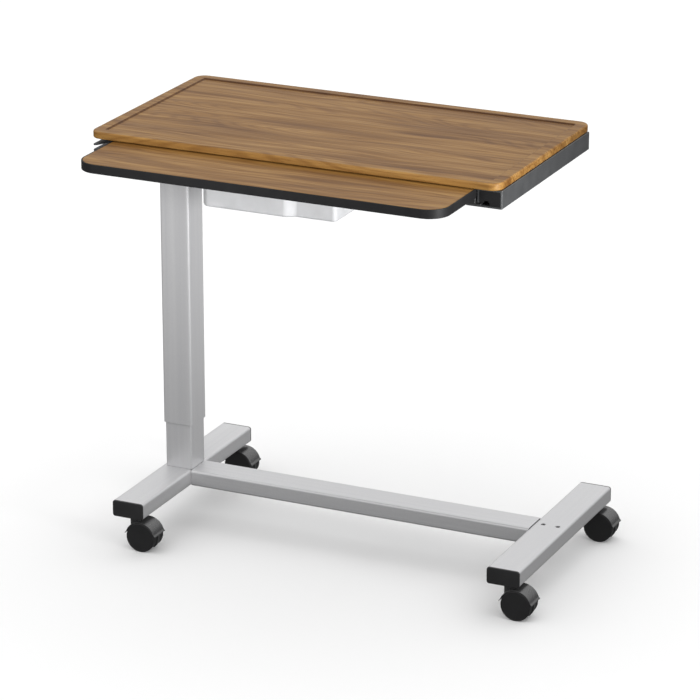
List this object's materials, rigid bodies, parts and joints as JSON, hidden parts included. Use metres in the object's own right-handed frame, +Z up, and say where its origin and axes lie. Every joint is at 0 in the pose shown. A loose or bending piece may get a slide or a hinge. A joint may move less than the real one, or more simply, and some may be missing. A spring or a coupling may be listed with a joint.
{
  "type": "overbed table",
  "caption": "Height-adjustable overbed table on an H-shaped caster base, with a rimmed top, a sliding lower top and a storage tray.",
  "frame": {"origin": "on the floor, at the middle of the footprint at rest", "axes": "+X along the cross bar away from the column, -Y the way the lower top slides out, +Z up"},
  "size_m": [0.8374, 0.5588, 0.7648],
  "materials": {
    "wood": "brown wood-grain laminate, satin",
    "black_edge": "satin black edge moulding",
    "rail": "satin charcoal powder coat",
    "brushed_steel": "satin silver",
    "dark_steel": "black powder coat",
    "bright_steel": "polished",
    "white_plastic": "moulded",
    "tray": "translucent white, softly glossy",
    "black_plastic": "fine moulded grain",
    "caster_hood": "semi-gloss moulding",
    "caster_wheel": "satin moulding"
  },
  "bodies": {
    "base": {"left_foot": "brushed_steel", "right_foot": "brushed_steel", "cross_bar": "brushed_steel", "cross_bar_insert": "dark_steel", "inner_joint_screw": "dark_steel", "outer_joint_screw": "dark_steel", "inner_column": "brushed_steel", "column_glide": "white_plastic", "column_base_block": "dark_steel", "front_column_bolt": "dark_steel", "back_column_bolt": "dark_steel", "gas_spring_cylinder": "dark_steel", "left_front_end_cap": "black_plastic", "left_front_stem_socket": "white_plastic", "left_front_caster_stem": "bright_steel", "left_back_end_cap": "black_plastic", "left_back_stem_socket": "white_plastic", "left_back_caster_stem": "bright_steel", "right_front_end_cap": "black_plastic", "right_front_stem_socket": "white_plastic", "right_front_caster_stem": "bright_steel", "right_back_end_cap": "black_plastic", "right_back_stem_socket": "white_plastic", "right_back_caster_stem": "bright_steel"},
    "lift": {"outer_column": "brushed_steel", "gas_spring_rod": "bright_steel", "head_plate": "dark_steel", "front_arm": "dark_steel", "back_arm": "dark_steel", "left_rail": "rail", "right_rail": "rail", "left_rail_front_cap": "black_plastic", "right_rail_front_cap": "black_plastic", "main_top": "wood", "lever_guard": "black_plastic", "lever_pivot_pin": "bright_steel", "left_tray_hanger": "dark_steel", "right_tray_hanger": "dark_steel"},
    "lower_top": {"lower_top": "wood", "lower_top_edge_band": "black_edge", "left_runner": "black_plastic", "right_runner": "black_plastic"},
    "tray": {"storage_tray": "tray"},
    "lever": {"release_lever": "black_plastic"},
    "left_front_caster": {"left_front_caster_hood": "caster_hood", "left_front_caster_axle": "bright_steel"},
    "left_front_wheel_a": {"left_front_wheel_a": "caster_wheel"},
    "left_front_wheel_b": {"left_front_wheel_b": "caster_wheel"},
    "left_back_caster": {"left_back_caster_hood": "caster_hood", "left_back_caster_axle": "bright_steel"},
    "left_back_wheel_a": {"left_back_wheel_a": "caster_wheel"},
    "left_back_wheel_b": {"left_back_wheel_b": "caster_wheel"},
    "right_front_caster": {"right_front_caster_hood": "caster_hood", "right_front_caster_axle": "bright_steel"},
    "right_front_wheel_a": {"right_front_wheel_a": "caster_wheel"},
    "right_front_wheel_b": {"right_front_wheel_b": "caster_wheel"},
    "right_back_caster": {"right_back_caster_hood": "caster_hood", "right_back_caster_axle": "bright_steel"},
    "right_back_wheel_a": {"right_back_wheel_a": "caster_wheel"},
    "right_back_wheel_b": {"right_back_wheel_b": "caster_wheel"}
  },
  "joints": [
    {"name": "column_lift", "type": "slide", "parent": "base", "child": "lift", "axis": [0, 0, 1], "range_m": [-0.08, 0.27]},
    {"name": "lower_top_slide", "type": "slide", "parent": "lift", "child": "lower_top", "axis": [0, -1, 0], "range_m": [-0.1357, 0.09]},
    {"name": "tray_slide", "type": "slide", "parent": "lift", "child": "tray", "axis": [0, -1, 0], "range_m": [0, 0.22]},
    {"name": "lever_pull", "type": "hinge", "parent": "lift", "child": "lever", "pos_m": [-0.39666, -0.08365, 0.7329], "axis": [-1, 0, 0], "range_deg": [0, 5], "stiffness_Nm_per_rad": 0.6, "springref_deg": -8.59},
    {"name": "left_front_swivel", "type": "hinge", "parent": "base", "child": "left_front_caster", "pos_m": [-0.35296, -0.12965, 0.057], "axis": [0, 0, 1], "continuous": true},
    {"name": "left_front_wheel_a_spin", "type": "hinge", "parent": "left_front_caster", "child": "left_front_wheel_a", "pos_m": [-0.33136, -0.1414, 0.027], "axis": [0, 1, 0], "continuous": true},
    {"name": "left_front_wheel_b_spin", "type": "hinge", "parent": "left_front_caster", "child": "left_front_wheel_b", "pos_m": [-0.33136, -0.1179, 0.027], "axis": [0, 1, 0], "continuous": true},
    {"name": "left_back_swivel", "type": "hinge", "parent": "base", "child": "left_back_caster", "pos_m": [-0.35296, 0.25635, 0.057], "axis": [0, 0, 1], "continuous": true},
    {"name": "left_back_wheel_a_spin", "type": "hinge", "parent": "left_back_caster", "child": "left_back_wheel_a", "pos_m": [-0.33136, 0.2446, 0.027], "axis": [0, 1, 0], "continuous": true},
    {"name": "left_back_wheel_b_spin", "type": "hinge", "parent": "left_back_caster", "child": "left_back_wheel_b", "pos_m": [-0.33136, 0.2681, 0.027], "axis": [0, 1, 0], "continuous": true},
    {"name": "right_front_swivel", "type": "hinge", "parent": "base", "child": "right_front_caster", "pos_m": [0.36584, -0.12965, 0.057], "axis": [0, 0, 1], "continuous": true},
    {"name": "right_front_wheel_a_spin", "type": "hinge", "parent": "right_front_caster", "child": "right_front_wheel_a", "pos_m": [0.38744, -0.1414, 0.027], "axis": [0, 1, 0], "continuous": true},
    {"name": "right_front_wheel_b_spin", "type": "hinge", "parent": "right_front_caster", "child": "right_front_wheel_b", "pos_m": [0.38744, -0.1179, 0.027], "axis": [0, 1, 0], "continuous": true},
    {"name": "right_back_swivel", "type": "hinge", "parent": "base", "child": "right_back_caster", "pos_m": [0.36584, 0.25635, 0.057], "axis": [0, 0, 1], "continuous": true},
    {"name": "right_back_wheel_a_spin", "type": "hinge", "parent": "right_back_caster", "child": "right_back_wheel_a", "pos_m": [0.38744, 0.2446, 0.027], "axis": [0, 1, 0], "continuous": true},
    {"name": "right_back_wheel_b_spin", "type": "hinge", "parent": "right_back_caster", "child": "right_back_wheel_b", "pos_m": [0.38744, 0.2681, 0.027], "axis": [0, 1, 0], "continuous": true}
  ]
}
